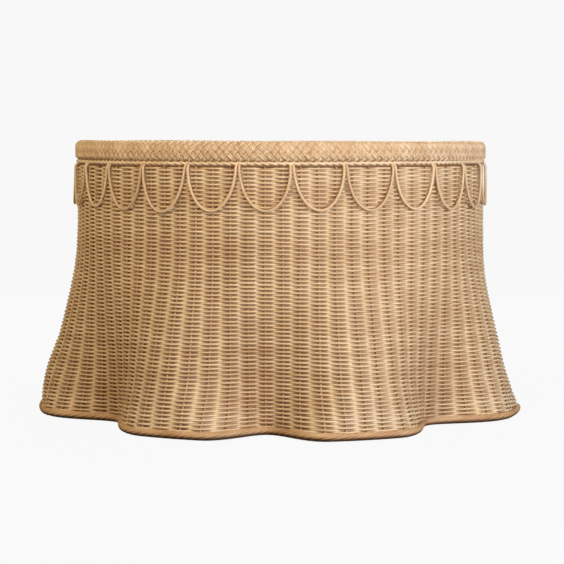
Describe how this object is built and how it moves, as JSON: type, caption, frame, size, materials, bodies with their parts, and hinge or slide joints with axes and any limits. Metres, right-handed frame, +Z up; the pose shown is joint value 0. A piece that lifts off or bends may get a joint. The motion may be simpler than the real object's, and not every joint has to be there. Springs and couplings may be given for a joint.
{
  "type": "lamp shade",
  "caption": "Woven wicker lamp shade, a straight drum that flares into a wavy skirt, with a plaited rim, hanging cane scallops, a rolled hem, and a steel wire frame with a fitter ring.",
  "frame": {"origin": "on the shade's axis, in the plane that the rolled hem stands on", "axes": "+Z up along the shade's axis, from the hem to the rim; -Y is the front, where a valley between two waves faces"},
  "size_m": [0.4965, 0.4955, 0.276],
  "materials": {
    "rattan_core": "natural rattan core, matt with a faint sheen",
    "rattan_pale": "natural peeled cane, satin",
    "frame_steel": "zinc-plated wire, satin"
  },
  "bodies": {
    "root": {"woven_wall": "rattan_core", "hem_border": "rattan_core", "plaited_rim": "rattan_pale", "twined_band": "rattan_pale", "scallop_loop_01": "rattan_pale", "scallop_loop_02": "rattan_pale", "scallop_loop_03": "rattan_pale", "scallop_loop_04": "rattan_pale", "scallop_loop_05": "rattan_pale", "scallop_loop_06": "rattan_pale", "scallop_loop_07": "rattan_pale", "scallop_loop_08": "rattan_pale", "scallop_loop_09": "rattan_pale", "scallop_loop_10": "rattan_pale", "scallop_loop_11": "rattan_pale", "scallop_loop_12": "rattan_pale", "scallop_loop_13": "rattan_pale", "scallop_loop_14": "rattan_pale", "scallop_loop_15": "rattan_pale", "scallop_loop_16": "rattan_pale", "scallop_loop_17": "rattan_pale", "scallop_loop_18": "rattan_pale", "scallop_loop_19": "rattan_pale", "scallop_loop_20": "rattan_pale", "scallop_loop_21": "rattan_pale", "scallop_loop_22": "rattan_pale", "scallop_loop_23": "rattan_pale", "scallop_loop_24": "rattan_pale", "scallop_loop_25": "rattan_pale", "scallop_loop_26": "rattan_pale", "frame_top_ring": "frame_steel", "frame_hem_ring": "frame_steel", "frame_strut_1": "frame_steel", "frame_strut_2": "frame_steel", "frame_strut_3": "frame_steel", "frame_strut_4": "frame_steel", "frame_strut_5": "frame_steel", "frame_strut_6": "frame_steel", "frame_strut_7": "frame_steel", "fitter_ring": "frame_steel", "fitter_arm_1": "frame_steel", "fitter_arm_2": "frame_steel", "fitter_arm_3": "frame_steel"}
  },
  "joints": []
}
